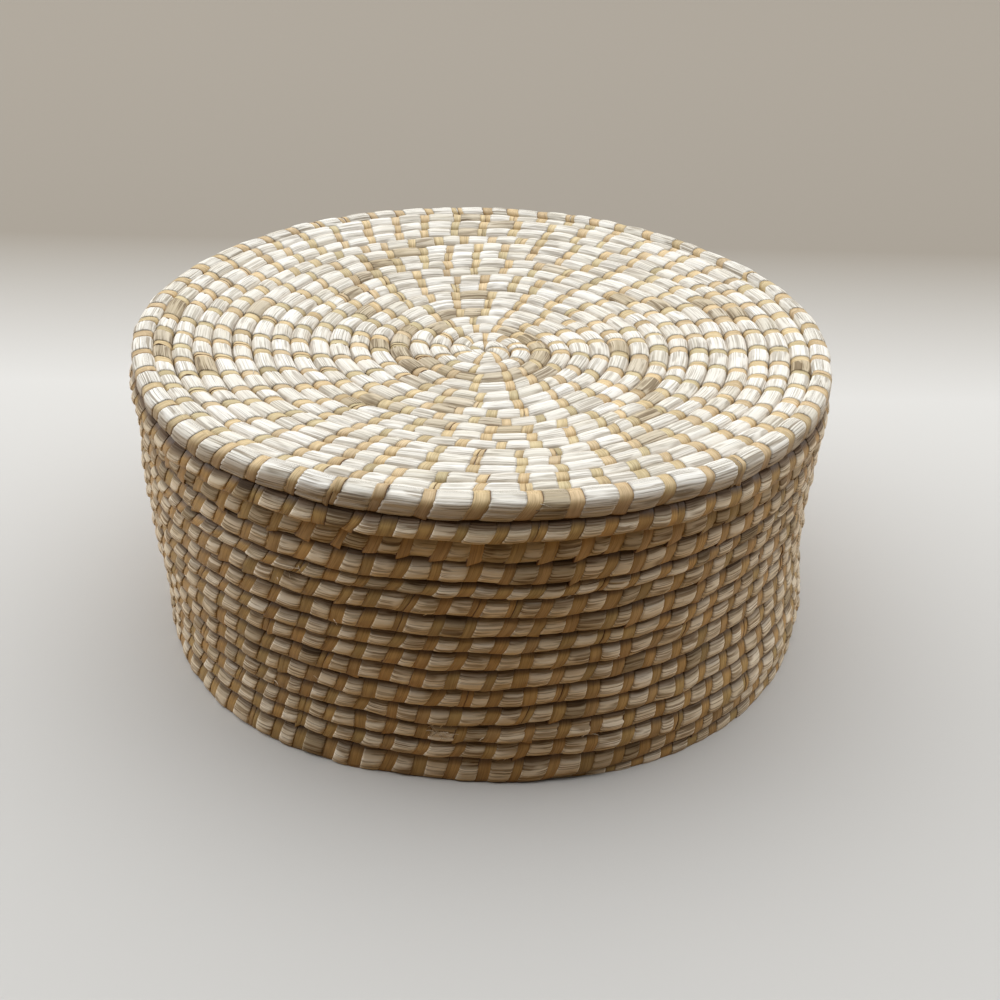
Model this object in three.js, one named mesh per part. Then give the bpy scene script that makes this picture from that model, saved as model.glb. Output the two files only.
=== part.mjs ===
// Lidded coiled basket: a round body and a loose lid, each wound from thick bundles of fibre.
// Millimetres, +Z up, origin at the centre of the underside.

import * as THREE from 'three';

// Body
const OUTER_RADIUS = 150;
const WALL_ROWS = 11;
const ROW_HEIGHT = 8.2;
const ROW_DEPTH = 9;

// Base disc and lid disc, whose rows lie side by side
const DISC_ROW_WIDTH = 8.1;
const DISC_ROW_DEPTH = 8.2;
const EYE_RADIUS = 2;
const LID_DISH = 10;

// Ring under the lid that keeps it centred in the mouth
const LOCATING_ROWS = 2;
const LOCATING_DEPTH = 7.5;
const LOCATING_CLEARANCE = 1.5;

// Gaps between rows, and between the lid and what it rests on
const ROW_GAP = 0.5;
const LID_SEAT_GAP = 0.3;

// Section of a bundle: a ridge on the side that shows, widest at the shoulder, flat on the hidden side
const SHOULDER_HEIGHT = 1.6;
const FLAT_CUT = 0.5;
const FLAT_SHARE = 0.7;

// Winding: a loop is 24 straight steps, or 12 where it is small or hidden
const LOOP_STEPS = 24;
const LID_FINE_RADIUS = 80;
const BASE_FINE_RADIUS = 118;
const CHANGE_STEPS = 5;
const TIP_SHARE = 0.2;
const COUNTER_CLOCKWISE = 1;
const CLOCKWISE = -1;

// Where each row moves on to the next one, in steps from +X towards +Y
const BASE_EDGE_CHANGE = -1;
const WALL_CHANGE = 6;
const WALL_RIM_CHANGE = 9;
const LID_EDGE_CHANGE = 2;
const LID_RIM_CHANGE = -3;
const LOCATING_CHANGE = 12;
const DISC_CHANGE = 0;

// Sizes that follow from those above
const STEP_ANGLE = (2 * Math.PI) / LOOP_STEPS;
const ROW_PITCH = ROW_HEIGHT + ROW_GAP;
const WALL_INNER_RADIUS = OUTER_RADIUS - ROW_DEPTH + FLAT_CUT;
const DISC_RADIUS = WALL_INNER_RADIUS - ROW_GAP;
const DISC_ROWS = Math.floor((DISC_RADIUS - EYE_RADIUS) / (DISC_ROW_WIDTH + ROW_GAP));
const DISC_PITCH = (DISC_RADIUS - EYE_RADIUS) / DISC_ROWS;
const FIRST_ROW_RADIUS = EYE_RADIUS + DISC_PITCH - DISC_ROW_WIDTH;
const WALL_BOTTOM = ROW_PITCH;
const WALL_RIM_BOTTOM = WALL_BOTTOM + WALL_ROWS * ROW_PITCH;
const LID_RIM_BOTTOM = WALL_RIM_BOTTOM + ROW_HEIGHT + LID_SEAT_GAP;
const LID_EDGE_BOTTOM = LID_RIM_BOTTOM + ROW_PITCH;
const LID_EDGE_MIDDLE = LID_EDGE_BOTTOM + ROW_HEIGHT / 2;
const DISC_FLAT_DEPTH = DISC_ROW_DEPTH / 2 - FLAT_CUT;
const LOCATING_RADIUS = WALL_INNER_RADIUS - LOCATING_CLEARANCE;
const LOCATING_HEIGHT = LOCATING_ROWS * ROW_PITCH - ROW_GAP;

const bleachedFibre = new THREE.MeshStandardMaterial({
  name: 'bleached_fibre', color: 0xe6decb, roughness: 0.8, metalness: 0, flatShading: true,
});
const naturalFibre = new THREE.MeshStandardMaterial({
  name: 'natural_fibre', color: 0xb8965f, roughness: 0.75, metalness: 0, flatShading: true,
});

// Height of the middle of a lid row: level at the edge and dished towards the eye
function lidHeight(radius) {
  return LID_EDGE_MIDDLE - LID_DISH * (1 - (radius / DISC_RADIUS) ** 2);
}

function pointAt(radius, azimuth, height) {
  return new THREE.Vector3(radius * Math.cos(azimuth), radius * Math.sin(azimuth), height);
}

// Corners of a bundle's section: share of the row's width, and distance from the bundle's middle
function bundleSection(depth) {
  const flat = FLAT_CUT - depth / 2;
  const inset = (1 - FLAT_SHARE) / 2;
  return [[0.5, depth / 2], [1, SHOULDER_HEIGHT], [1 - inset, flat], [inset, flat], [0, SHOULDER_HEIGHT]];
}

// Rows passed at a step: whole numbers along a row, then a steady rise inside the change sector
function rowsPassed(step, changeSteps) {
  const loop = Math.floor(step / LOOP_STEPS);
  const intoSector = step - loop * LOOP_STEPS - (LOOP_STEPS - changeSteps);
  return loop + Math.max(0, intoSector) / changeSteps;
}

// Rings of corners along one unbroken bundle. Its first and last rows are cut flush with the edges
// of the winding, so both ends are long wedges.
function windBundle({ rows, pitch, width, depth, changeSteps, changeAt, turn, isFine, place }) {
  const section = bundleSection(depth);
  const farEdge = (rows - 1) * pitch + width;
  const rings = [];
  for (let step = -changeSteps; step <= rows * LOOP_STEPS; step += 1) {
    const start = rowsPassed(step, changeSteps) * pitch;
    const low = Math.max(start, 0);
    const high = Math.min(start + width, farEdge);
    const thick = high - low > TIP_SHARE * width;
    if (thick && (step % 2 === 0 || isFine(low))) {
      const azimuth = (changeAt + turn * step) * STEP_ANGLE;
      const corners = section.map(([share, out]) => place(azimuth, low + share * (high - low), out));
      rings.push({ step, corners });
    }
  }
  return rings;
}

// Corners and points halfway to the next ring, each with its place along the bundle
function surfacePoints(rings) {
  const points = [];
  rings.forEach(({ step, corners }, index) => {
    corners.forEach((corner, side) => {
      points.push({ step, point: corner });
      const next = rings[index + 1];
      if (next) {
        const halfway = corner.clone().lerp(next.corners[side], 0.5);
        points.push({ step: (step + next.step) / 2, point: halfway });
      }
    });
  });
  return points;
}

// Least distance between points of one bundle that lie in different loops
function leastGap(rings) {
  const points = surfacePoints(rings);
  let least = Infinity;
  for (let first = 0; first < points.length; first += 1) {
    for (let second = first + 1; second < points.length; second += 1) {
      if (points[second].step - points[first].step > LOOP_STEPS / 2) {
        least = Math.min(least, points[first].point.distanceTo(points[second].point));
      }
    }
  }
  return least;
}

// Triangles between neighbouring rings, and a fan over each end. Reversed, they face the other way.
function tubeIndex(ringCount, sides, reversed) {
  const index = [];
  const add = (a, b, c) => index.push(...(reversed ? [a, c, b] : [a, b, c]));
  for (let ring = 0; ring + 1 < ringCount; ring += 1) {
    for (let side = 0; side < sides; side += 1) {
      const here = ring * sides + side;
      const beside = ring * sides + ((side + 1) % sides);
      add(here, beside, here + sides);
      add(beside, beside + sides, here + sides);
    }
  }
  const last = (ringCount - 1) * sides;
  for (let side = 1; side + 1 < sides; side += 1) {
    add(0, side + 1, side);
    add(last, last + side, last + side + 1);
  }
  return index;
}

function bundleMesh(name, material, winding) {
  const rings = windBundle(winding);
  const corners = rings.flatMap((ring) => ring.corners);
  const geometry = new THREE.BufferGeometry().setFromPoints(corners);
  geometry.setIndex(tubeIndex(rings.length, rings[0].corners.length, winding.reversed));
  geometry.computeVertexNormals();
  const mesh = new THREE.Mesh(geometry, material);
  mesh.name = name;
  console.log(`${name}: least gap to itself ${leastGap(rings).toFixed(2)} mm`);
  return mesh;
}

// Rows stacked upwards on a cylinder, with their ridges outside
function stackedRows(name, material, { rows, bottom, radius, depth, changeAt, turn, fine }) {
  const middle = radius - depth / 2;
  return bundleMesh(name, material, {
    rows,
    pitch: ROW_PITCH,
    width: ROW_HEIGHT,
    depth,
    changeSteps: CHANGE_STEPS,
    changeAt,
    turn,
    reversed: turn === COUNTER_CLOCKWISE,
    isFine: () => fine,
    place: (azimuth, along, out) => pointAt(middle + out, azimuth, bottom + along),
  });
}

// A flat spiral of rows from the eye to the disc's edge, with their ridges on top
function spiralDisc(name, material, { turn, fineRadius, heightAt }) {
  return bundleMesh(name, material, {
    rows: DISC_ROWS,
    pitch: DISC_PITCH,
    width: DISC_ROW_WIDTH,
    depth: DISC_ROW_DEPTH,
    changeSteps: LOOP_STEPS,
    changeAt: DISC_CHANGE,
    turn,
    reversed: turn === CLOCKWISE,
    isFine: (along) => FIRST_ROW_RADIUS + along > fineRadius,
    place: (azimuth, along, out) => {
      const radius = FIRST_ROW_RADIUS + along;
      return pointAt(radius, azimuth, heightAt(radius) + out);
    },
  });
}

function basketBody() {
  const body = new THREE.Group();
  const turn = COUNTER_CLOCKWISE;
  const row = { rows: 1, radius: OUTER_RADIUS, depth: ROW_DEPTH, turn, fine: true };
  body.add(
    spiralDisc('base_coil', bleachedFibre, {
      turn, fineRadius: BASE_FINE_RADIUS, heightAt: () => DISC_FLAT_DEPTH,
    }),
    stackedRows('base_edge_coil', bleachedFibre, { ...row, bottom: 0, changeAt: BASE_EDGE_CHANGE }),
    stackedRows('wall_coil', bleachedFibre, {
      ...row, rows: WALL_ROWS, bottom: WALL_BOTTOM, changeAt: WALL_CHANGE,
    }),
    stackedRows('wall_rim_coil', naturalFibre, {
      ...row, bottom: WALL_RIM_BOTTOM, changeAt: WALL_RIM_CHANGE,
    }),
  );
  return body;
}

function basketLid() {
  const lid = new THREE.Group();
  const turn = CLOCKWISE;
  const row = { rows: 1, radius: OUTER_RADIUS, depth: ROW_DEPTH, turn, fine: true };
  const underside = lidHeight(LOCATING_RADIUS - LOCATING_DEPTH) - DISC_FLAT_DEPTH;
  lid.add(
    spiralDisc('lid_coil', bleachedFibre, { turn, fineRadius: LID_FINE_RADIUS, heightAt: lidHeight }),
    stackedRows('lid_edge_coil', bleachedFibre, {
      ...row, bottom: LID_EDGE_BOTTOM, changeAt: LID_EDGE_CHANGE,
    }),
    stackedRows('lid_rim_coil', bleachedFibre, { ...row, bottom: LID_RIM_BOTTOM, changeAt: LID_RIM_CHANGE }),
    stackedRows('lid_locating_coil', naturalFibre, {
      ...row,
      rows: LOCATING_ROWS,
      bottom: underside - LID_SEAT_GAP - LOCATING_HEIGHT,
      radius: LOCATING_RADIUS,
      depth: LOCATING_DEPTH,
      changeAt: LOCATING_CHANGE,
      fine: false,
    }),
  );
  return lid;
}

const basket = new THREE.Group();
basket.add(basketBody(), basketLid());

export default basket;
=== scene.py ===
import math
from collections.abc import Callable
from dataclasses import dataclass, replace

import bpy
import numpy as np
from mathutils import Matrix


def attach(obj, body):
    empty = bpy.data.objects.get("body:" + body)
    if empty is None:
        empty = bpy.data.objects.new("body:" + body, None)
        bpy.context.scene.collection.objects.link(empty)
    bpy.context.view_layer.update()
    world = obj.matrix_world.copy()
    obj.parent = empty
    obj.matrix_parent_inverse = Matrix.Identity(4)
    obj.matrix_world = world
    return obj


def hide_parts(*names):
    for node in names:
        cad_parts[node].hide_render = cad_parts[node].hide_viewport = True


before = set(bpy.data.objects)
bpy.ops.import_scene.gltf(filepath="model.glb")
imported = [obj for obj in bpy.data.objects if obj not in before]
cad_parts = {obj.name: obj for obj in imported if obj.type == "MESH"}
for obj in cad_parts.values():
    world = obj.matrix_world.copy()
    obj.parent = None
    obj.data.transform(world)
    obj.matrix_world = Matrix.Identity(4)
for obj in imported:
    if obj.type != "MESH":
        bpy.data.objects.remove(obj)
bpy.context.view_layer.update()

scene = bpy.context.scene

# Lengths are in millimetres until a mesh is made
MM = 0.001
FULL_TURN = 2 * math.pi

# Sizes of the solids that the pieces replace
OUTER_RADIUS = 150.0
ROW_HEIGHT = 8.2
ROW_DEPTH = 9.0
ROW_GAP = 0.5
FLAT_CUT = 0.5
WALL_ROWS = 11
LID_SEAT_GAP = 0.3
LID_DISH = 10.0
DISC_ROWS = 16
DISC_ROW_WIDTH = 8.1
DISC_HALF_DEPTH = 4.1
EYE_RADIUS = 2.0
LOCATING_ROWS = 2
LOCATING_DEPTH = 7.5
LOCATING_CLEARANCE = 1.5
LOCATING_BOTTOM = 103.7

# Sizes that follow from those above
ROW_PITCH = ROW_HEIGHT + ROW_GAP
WALL_BOTTOM = ROW_PITCH
WALL_RIM_BOTTOM = WALL_BOTTOM + WALL_ROWS * ROW_PITCH
LID_RIM_BOTTOM = WALL_RIM_BOTTOM + ROW_HEIGHT + LID_SEAT_GAP
LID_EDGE_BOTTOM = LID_RIM_BOTTOM + ROW_PITCH
LID_EDGE_MIDDLE = LID_EDGE_BOTTOM + ROW_HEIGHT / 2
WALL_INNER_RADIUS = OUTER_RADIUS - ROW_DEPTH + FLAT_CUT
DISC_RADIUS = WALL_INNER_RADIUS - ROW_GAP
DISC_PITCH = (DISC_RADIUS - EYE_RADIUS) / DISC_ROWS
DISC_FIRST_RADIUS = EYE_RADIUS + DISC_PITCH - DISC_ROW_WIDTH
LOCATING_RADIUS = WALL_INNER_RADIUS - LOCATING_CLEARANCE

# Real heights of the rows, from the floor to the row turned down under the lid, and the top of the lid
ROW_HEIGHTS = [12.7, 7.5, 8.5, 8.8, 9.1, 9.4, 8.7, 7.2, 9.5, 9.6, 5.4, 9.9, 8.3, 7.2]
LID_TOP = 130.0
REAL_LEVELS = np.concatenate([[0], np.cumsum(ROW_HEIGHTS), [LID_TOP]])
# The same levels in the solids, where the rows are even
EVEN_LEVELS = np.concatenate([
    [0],
    WALL_BOTTOM - ROW_GAP / 2 + ROW_PITCH * np.arange(WALL_ROWS + 1),
    [LID_RIM_BOTTOM - LID_SEAT_GAP / 2, LID_EDGE_BOTTOM - ROW_GAP / 2, LID_TOP],
])

# Winding: share of a turn in which a stacked row climbs to the next, and steps in a turn
CLIMB = 5 / 24
TABLE_STEPS = 360
# Which way the bundles of the body and the lid run, seen from above
BODY_WAY = 1
LID_WAY = -1
# A bundle ends where it is thinner than this share of a row, and the ends of a closed ring overlap
TIP_SHARE = 0.03
RING_OVERLAP = 0.02
# Nothing comes nearer to the floor
FLOOR_CLEARANCE = 0.05

# Section of a bundle: 2 is an ellipse and higher powers are squarer. The hidden side is flatter.
LID_SQUARENESS = 2.7
WALL_SQUARENESS = 2.2
EDGE_SQUARENESS = 3.8
BACK_TRIM = 0.4
SECTION_STEPS = 2001
# Half a row, to measure the way round a section
HALF_ROW = 4.3
# How far the outer side of a row hangs down over the row below
DROOP = 2.8
EDGE_DROOP = 0.9
# The first row of a disc is drawn in to the middle of its eye
EYE_FILL = 2.4
# The width of a disc's last row along its turn, and the row from which the others make room for it
LAST_ROW_SHARES = [0, 0.72, 0.97, 1]
LAST_ROW_WIDTHS = [1, 0.88, 0.12, 0]
LEAST_WIDTH = 1e-6
EVENED_FROM = 8
# How far a bundle strays from its path, and its shortest and longest waves
ACROSS_WAVER = 0.22
ACROSS_WAVES = (17, 110)
OUT_WAVER = 0.3
OUT_WAVES = (23, 160)

# How far the whole basket strays from a true round
LEAN = math.tan(math.radians(1.1))
FLARE = 1.8
AXIS_LEVELS = [0, 15, 32, 50, 80, 100, 130]
AXIS_SHIFTS = [2.8, 3.0, 0.8, -1.2, -1.2, 0.2, 0.3]
ROUND_WAVER = 0.8
ROW_WAVER = 0.55
LID_WAVER = 0.6
# Rows sit higher at the front right, the lid sits higher at the front, and the base spreads between its axes
ROWS_RAISE = 3.0
ROWS_RAISE_LOBE = (-62, 40)
LID_RAISE = 1.8
LID_RAISE_LOBE = (-85, 65)
BASE_SPREAD = 3.0
# Where the edge of the lid stands off the rows inside it
GAPE = 1.3
GAPE_LOBE = (-52, 22)
# Zones in which all this sets in, in distance from the axis
EYE_ZONE = (0, 40)
LID_END_ZONE = (138, 108)
WALL_ZONE = (125, 135)
GAPE_ZONE = (139, 143)
RAISE_ZONE = (40, 130)
# Zones in height
FOOT_ZONE = (4, 24)
HEAD_ZONE = (108, 88)
LID_ZONE = (100, 110)
FLARE_ZONE = (30, 100)
SPREAD_ZONE = (40, 0)
ROWS_RAISE_ZONE = (4, 18)
LID_RAISE_ZONE = (104, 114)


def smooth(share):
    share = np.clip(share, 0, 1)
    return share * share * (3 - 2 * share)


def steady(share):
    return share


def rising(value, zone):
    """0 before a zone and 1 after it. A zone that is written backwards falls instead."""
    start, end = zone
    return smooth((value - start) / (end - start))


def bell(value, middle, reach):
    """1 in the middle, falling away on both sides."""
    return np.exp(-((value - middle) / reach) ** 2)


def half_turn(angle):
    """An angle brought to within half a turn of 0."""
    return (angle + math.pi) % FULL_TURN - math.pi


def lobe(azimuth, middle, reach):
    """A bell round the basket: its middle and reach are in degrees."""
    return bell(half_turn(azimuth - math.radians(middle)), 0, math.radians(reach))


def lid_height(radius):
    return LID_EDGE_MIDDLE - LID_DISH * (1 - (radius / DISC_RADIUS) ** 2)


def base_height(radius):
    return np.full_like(radius, DISC_HALF_DEPTH - BACK_TRIM)


class Waver:
    """A smooth random curve along a bundle, about 1 high at most."""

    def __init__(self, rng, shortest, longest, count=6):
        self.waves = FULL_TURN / np.geomspace(shortest, longest, count)
        self.phases = rng.uniform(0, FULL_TURN, count)

    def at(self, length):
        total = sum(np.sin(length * wave + phase) for wave, phase in zip(self.waves, self.phases))
        return total / math.sqrt(len(self.waves))


class Ripple:
    """A smooth random height, about 1 at most, that changes round the basket and with a second length."""

    def __init__(self, rng, lobes, reach):
        self.lobes = lobes
        self.phases = rng.uniform(0, FULL_TURN, len(lobes))
        self.drifts = rng.uniform(-1, 1, len(lobes)) * FULL_TURN / reach

    def at(self, azimuth, along):
        total = sum(
            np.sin(count * azimuth + phase + drift * along)
            for count, phase, drift in zip(self.lobes, self.phases, self.drifts)
        )
        return total / math.sqrt(len(self.lobes))


ripple_rng = np.random.default_rng(40)
ROUND_RIPPLE = Ripple(ripple_rng, [2, 3, 4, 5, 7], 500)
ROW_RIPPLE = Ripple(ripple_rng, [4, 5, 7, 9, 12], 120)
LID_RIPPLE = Ripple(ripple_rng, [3, 4, 6, 7, 9], 140)
SAG_RIPPLE = Ripple(ripple_rng, [2, 3, 5, 6], 160)


def warp(x, y, z):
    """Points moved as the whole basket is uneven: it leans, isn't quite round, and its rows wander."""
    radius = np.hypot(x, y)
    azimuth = np.arctan2(y, x)
    within_lid = rising(radius, EYE_ZONE) * rising(radius, LID_END_ZONE)
    on_wall = rising(radius, WALL_ZONE) * rising(z, FOOT_ZONE) * rising(z, HEAD_ZONE)
    on_lid = rising(z, LID_ZONE)

    flare = FLARE * rising(z, FLARE_ZONE)
    outward = (ROUND_WAVER * ROUND_RIPPLE.at(azimuth, z) + flare) * radius / OUTER_RADIUS
    outward = outward + LID_WAVER * LID_RIPPLE.at(azimuth, radius) * within_lid
    gape = GAPE * lobe(azimuth, *GAPE_LOBE)
    outward = outward + gape * rising(radius, GAPE_ZONE) * on_lid
    spread = BASE_SPREAD * np.sin(2 * azimuth) ** 2 * rising(z, SPREAD_ZONE)
    outward = outward + spread * radius / OUTER_RADIUS

    up = ROW_WAVER * ROW_RIPPLE.at(azimuth, z) * on_wall
    up = up + LID_WAVER * SAG_RIPPLE.at(azimuth, radius) * within_lid * on_lid
    up = up - x * LEAN * z / LID_TOP
    rows_raise = ROWS_RAISE * lobe(azimuth, *ROWS_RAISE_LOBE) * rising(z, ROWS_RAISE_ZONE)
    lid_raise = LID_RAISE * lobe(azimuth, *LID_RAISE_LOBE) * rising(z, LID_RAISE_ZONE)
    up = up + (rows_raise + lid_raise) * rising(radius, RAISE_ZONE)

    moved = radius + outward
    shift = np.interp(z, AXIS_LEVELS, AXIS_SHIFTS)
    return moved * np.cos(azimuth) + shift, moved * np.sin(azimuth), z + up


def evened(lateral, share):
    """Rows of a disc moved in, at a share of a turn, so that the last keeps its width to near its end."""
    edge = DISC_ROWS * DISC_PITCH
    inner = edge - np.maximum(1 - share, LEAST_WIDTH) * DISC_PITCH
    wanted = edge - np.interp(share, LAST_ROW_SHARES, LAST_ROW_WIDTHS) * DISC_PITCH
    fixed = EVENED_FROM * DISC_PITCH
    moved_in = fixed + (lateral - fixed) * (wanted - fixed) / (inner - fixed)
    last_row = wanted + (lateral - inner) * (edge - wanted) / (edge - inner)
    return np.where(lateral < fixed, lateral, np.where(lateral < inner, moved_in, last_row))


class Coil:
    """One wound bundle: its azimuth, the middle of its row and half its row's width, along its length."""

    def __init__(
        self, seed, rows, pitch, way, change, middle_radius, halves, squareness, place,
        climb=CLIMB, rise=smooth, ring=False, eye_fill=0.0, even_last=False,
    ):
        if ring:
            turns = np.linspace(-RING_OVERLAP, 1 + RING_OVERLAP, TABLE_STEPS)
            low = np.zeros_like(turns)
            high = np.full_like(turns, pitch)
        else:
            turns = np.linspace(-climb, rows, int(TABLE_STEPS * (rows + climb)) + 1)
            whole = np.floor(turns)
            share = np.clip((turns - whole - (1 - climb)) / climb, 0, 1)
            start = (whole + rise(share)) * pitch
            low = np.maximum(start, 0)
            high = np.minimum(start + pitch, rows * pitch)
        if even_last:
            low = evened(low, turns % 1)
            high = evened(high, turns % 1)
        kept = high - low > TIP_SHARE * pitch
        low = low - eye_fill * smooth(1 - turns)
        self.turns = turns[kept]
        self.middle = ((low + high) / 2)[kept]
        self.half = ((high - low) / 2)[kept]
        self.radius = middle_radius(self.middle)
        step = FULL_TURN * (self.radius[1:] + self.radius[:-1]) / 2 * np.diff(self.turns)
        self.length = np.concatenate([[0], np.cumsum(step)])
        self.start = math.radians(change)
        self.azimuth = self.start + way * FULL_TURN * self.turns
        self.ring = ring
        self.first = self.at_turn(0) if ring else self.length[0]
        self.last = self.at_turn(1) if ring else self.length[-1]
        self.way = way
        self.pitch = pitch
        self.out_half, self.in_half = halves
        self.squareness = squareness
        self.place = place
        rng = np.random.default_rng(seed)
        self.across_waver = Waver(rng, *ACROSS_WAVES)
        self.out_waver = Waver(rng, *OUT_WAVES)

    def read(self, values, length):
        return np.interp(length, self.length, values)

    def at_turn(self, turns):
        return np.interp(turns, self.turns, self.length)

    def at_azimuth(self, degrees, turn):
        """The length at which a turn of the bundle passes an azimuth."""
        share = (math.radians(degrees) - self.start) * self.way / FULL_TURN % 1
        return self.at_turn(turn + share)

    def points(self, length, across, out, across_push, out_push):
        """Points of the bundle's surface in metres: across and out are shares of half the row."""
        middle = self.read(self.middle, length)
        half = self.read(self.half, length)
        azimuth = self.read(self.azimuth, length)
        thin = np.clip(half * 2 / self.pitch, 0, 1)
        depth = np.where(out > 0, self.out_half, self.in_half)
        lateral = middle + half * across + thin * (across_push + ACROSS_WAVER * self.across_waver.at(length))
        height = out * depth * np.sqrt(thin) + thin * (out_push + OUT_WAVER * self.out_waver.at(length))
        return np.stack(warp(*self.place(azimuth, lateral, height)), -1) * MM


def stacked(middle, bottom, droop, real_rows):
    """Rows stacked upwards on a cylinder, facing outwards."""

    def place(azimuth, lateral, out):
        radius = middle + out
        sag = droop * np.maximum(out, 0) / (ROW_DEPTH / 2)
        height = bottom + lateral
        if real_rows:
            beyond = np.minimum(height, 0) + np.maximum(height - LID_TOP, 0)
            height = np.interp(height, EVEN_LEVELS, REAL_LEVELS) + beyond
        height = np.maximum(height - sag, FLOOR_CLEARANCE)
        return radius * np.cos(azimuth), radius * np.sin(azimuth), height

    return place


def disc(height_at):
    """Rows side by side from the eye outwards, facing up."""

    def place(azimuth, lateral, out):
        radius = DISC_FIRST_RADIUS + lateral
        height = np.maximum(height_at(radius) + out, FLOOR_CLEARANCE)
        return radius * np.cos(azimuth), radius * np.sin(azimuth), height

    return place


def stack_coil(
    seed, rows, bottom, way, change, radius=OUTER_RADIUS, depth=ROW_DEPTH,
    squareness=WALL_SQUARENESS, droop=DROOP, real_rows=True, **winding,
):
    """Stacked rows that start at an azimuth in degrees."""
    middle = radius - depth / 2
    return Coil(
        seed, rows, ROW_PITCH, way, change,
        middle_radius=lambda lateral: np.full_like(lateral, middle),
        halves=(depth / 2, depth / 2 - BACK_TRIM),
        squareness=squareness,
        place=stacked(middle, bottom, droop, real_rows),
        **winding,
    )


def disc_coil(seed, way, height_at, even_last):
    return Coil(
        seed, DISC_ROWS, DISC_PITCH, way, 0.0,
        middle_radius=lambda lateral: DISC_FIRST_RADIUS + lateral,
        halves=(DISC_HALF_DEPTH, DISC_HALF_DEPTH - BACK_TRIM),
        squareness=LID_SQUARENESS,
        place=disc(height_at),
        climb=1.0,
        rise=steady,
        eye_fill=EYE_FILL,
        even_last=even_last,
    )


class Section:
    """Corners round a bundle, finer on the side that shows, with the direction that each faces."""

    def __init__(self, squareness, shown, hidden):
        angle = np.linspace(0, FULL_TURN, SECTION_STEPS)
        power = 2 / squareness
        across = np.sign(np.cos(angle)) * np.abs(np.cos(angle)) ** power
        out = np.sign(np.sin(angle)) * np.abs(np.sin(angle)) ** power
        walk = np.concatenate([[0], np.cumsum(np.hypot(np.diff(across), np.diff(out)))])
        around = walk[-1]
        where = np.concatenate([
            np.linspace(0, around / 2, shown, endpoint=False),
            np.linspace(around / 2, around, hidden, endpoint=False),
        ])
        self.across = np.interp(where, walk, across)
        self.out = np.interp(where, walk, out)
        facing_across = np.sign(self.across) * np.abs(self.across) ** (squareness - 1)
        facing_out = np.sign(self.out) * np.abs(self.out) ** (squareness - 1)
        size = np.hypot(facing_across, facing_out)
        self.facing_across = facing_across / size
        self.facing_out = facing_out / size
        self.walk = where * HALF_ROW
        self.count = shown + hidden


@dataclass(frozen=True)
class Sewing:
    """How a bundle is sewn, in millimetres along it and in shares of the spacing of its strips."""

    spacing: Callable
    spread: float
    width: float
    slant: float
    # How far a strip is from the one beside it in the row before, how far it strays from there, and how far
    # it may leave its usual spacing to follow
    shift: float
    wander: float
    slack: float = 0.17


# Room left at the ends of a bundle, in millimetres, and of a closed ring, as a share of the spacing
END_MARGIN = 2.5
RING_MARGIN = 0.7
# How much more than the slack a strip may be too near to the last one
NEAR_SLACK = 1.15
WIDTH_SPREAD = 0.1
WIDTH_LIMITS = (0.7, 1.3)
SLANT_SPREAD = 0.1


class Stitches:
    """Where the strips of a bundle are, and how wide and slanted each is.

    Each strip follows the one beside it in the row before, or in the row that guides this bundle.
    """

    def __init__(self, rng, coil, sewing, guide):
        if coil.ring:
            start = coil.first + sewing.spacing(OUTER_RADIUS)
            stop = coil.last - RING_MARGIN * sewing.spacing(OUTER_RADIUS)
        else:
            start = coil.first + END_MARGIN
            stop = coil.last - END_MARGIN
        placed = [start]
        while True:
            last = placed[-1]
            usual = sewing.spacing(coil.read(coil.radius, last))
            wanted = last + usual * rng.normal(1, sewing.spread)
            follow = self.beside(coil, np.array(placed), wanted, sewing.shift, guide)
            follow = follow + rng.normal(0, sewing.wander)
            if (1 - sewing.slack) * usual < follow - last < (1 + sewing.slack) * usual:
                wanted = follow
            wanted = max(wanted, last + (1 - NEAR_SLACK * sewing.slack) * usual)
            if wanted > stop:
                break
            placed.append(wanted)
        self.at = np.array(placed)
        usual = sewing.spacing(coil.read(coil.radius, self.at))
        count = len(self.at)
        self.width = usual * sewing.width * np.clip(rng.normal(1, WIDTH_SPREAD, count), *WIDTH_LIMITS)
        self.slant = rng.normal(sewing.slant, SLANT_SPREAD, count)

    def beside(self, coil, placed, wanted, shift, guide):
        """The length at which the strip beside a wanted length would have this one."""
        turns = coil.read(coil.turns, wanted)
        if turns - 1 > coil.turns[0]:
            earlier = coil.at_turn(turns - 1)
            nearest = placed[np.argmin(np.abs(placed + shift - earlier))]
            return coil.at_turn(coil.read(coil.turns, nearest) + 1) + shift
        if guide is None:
            return wanted
        aside = half_turn(coil.way * (guide - coil.read(coil.azimuth, wanted)))
        aside = aside * coil.read(coil.radius, wanted) + shift
        return wanted + aside[np.argmin(np.abs(aside))]

    def azimuths(self, coil, first, last):
        """Where the strips are round the basket, between two turns."""
        turns = coil.read(coil.turns, self.at)
        return coil.read(coil.azimuth, self.at)[(turns > first) & (turns < last)]


# Where the crease above a row starts and ends, in shares of half the row's width, for the shade painted in
# it
UPPER_CREASE = (0.42, 0.98)
NO_CREASE = (1.1, 1.2)


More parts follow.
